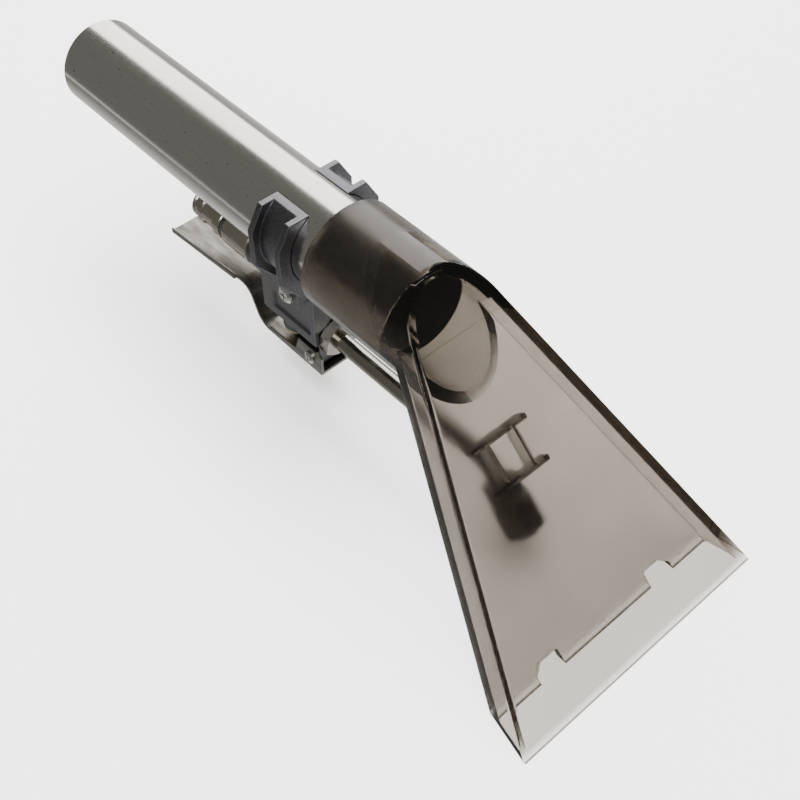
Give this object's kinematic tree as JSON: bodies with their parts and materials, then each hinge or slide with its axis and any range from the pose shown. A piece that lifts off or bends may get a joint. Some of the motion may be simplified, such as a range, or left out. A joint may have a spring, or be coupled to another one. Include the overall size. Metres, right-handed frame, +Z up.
{
  "type": "carpet extractor hand tool",
  "caption": "Hand tool of a carpet and upholstery extractor: clear flared suction head on a steel wand tube, with a trigger valve that feeds a spray jet behind the head.",
  "frame": {"origin": "centre of the suction mouth on the plane of its lips, which is the surface being cleaned", "axes": "+Z up from the mouth's plane; +Y along the wand tube towards the vacuum hose; +X to the right seen from the hose end, so the clear window faces -Y"},
  "size_m": [0.1236, 0.3227, 0.1096],
  "materials": {
    "stainless_tube": "polished lengthwise, with faint long scratches",
    "clear_plastic": "clear smoked grey-brown polycarbonate, glossy",
    "cast_aluminium": "dark tumbled die casting, lighter on its worn edges",
    "plated_steel": "bright zinc plate",
    "brass": "machined brass",
    "rubber": "black nitrile rubber",
    "stem_steel": "turned stainless steel",
    "spring_steel": "drawn spring wire",
    "trigger_steel": "brushed and scuffed sheet steel",
    "nickel": "dull nickel plate on brass",
    "mesh_steel": "fine woven stainless mesh",
    "line_steel": "polished stainless tube",
    "tip_steel": "machined stainless steel"
  },
  "bodies": {
    "tool": {"vacuum_tube": "stainless_tube", "head_shell": "clear_plastic", "front_window": "clear_plastic", "saddle_clamp": "cast_aluminium", "saddle_screw": "plated_steel", "saddle_nut": "plated_steel", "valve_body": "cast_aluminium", "valve_top_plug": "brass", "top_plug_o_ring": "rubber", "stem_gland": "brass", "stem_o_ring": "rubber", "valve_spring": "spring_steel", "inlet_adaptor": "nickel", "inlet_strainer": "mesh_steel", "quick_connect_plug": "nickel", "plug_o_ring": "rubber", "outlet_connector": "brass", "outlet_ferrule": "brass", "outlet_nut": "nickel", "spray_tube": "line_steel", "jet_nut": "nickel", "jet_ferrule": "brass", "jet_body": "nickel", "jet_strainer": "mesh_steel", "spray_tip": "tip_steel", "tip_cap": "nickel"},
    "trigger": {"trigger_lever": "trigger_steel", "pivot_screw": "plated_steel", "pivot_nut": "plated_steel"},
    "valve_stem": {"valve_plunger": "stem_steel", "valve_poppet": "stem_steel", "poppet_seal": "rubber"}
  },
  "joints": [
    {"name": "trigger_pull", "type": "hinge", "parent": "tool", "child": "trigger", "pos_m": [0, 0.1649, 0.024], "axis": [1, 0, 0], "range_deg": [0, 6], "stiffness_Nm_per_rad": 1.5, "springref_deg": -14.32},
    {"name": "stem_lift", "type": "slide", "parent": "tool", "child": "valve_stem", "axis": [0, 0, 1], "range_m": [0, 0.00184], "deforming": ["valve_spring"]}
  ],
  "couplings": [
    {"joint": "stem_lift", "follows": "trigger_pull", "m_per_rad": 0.0175}
  ]
}
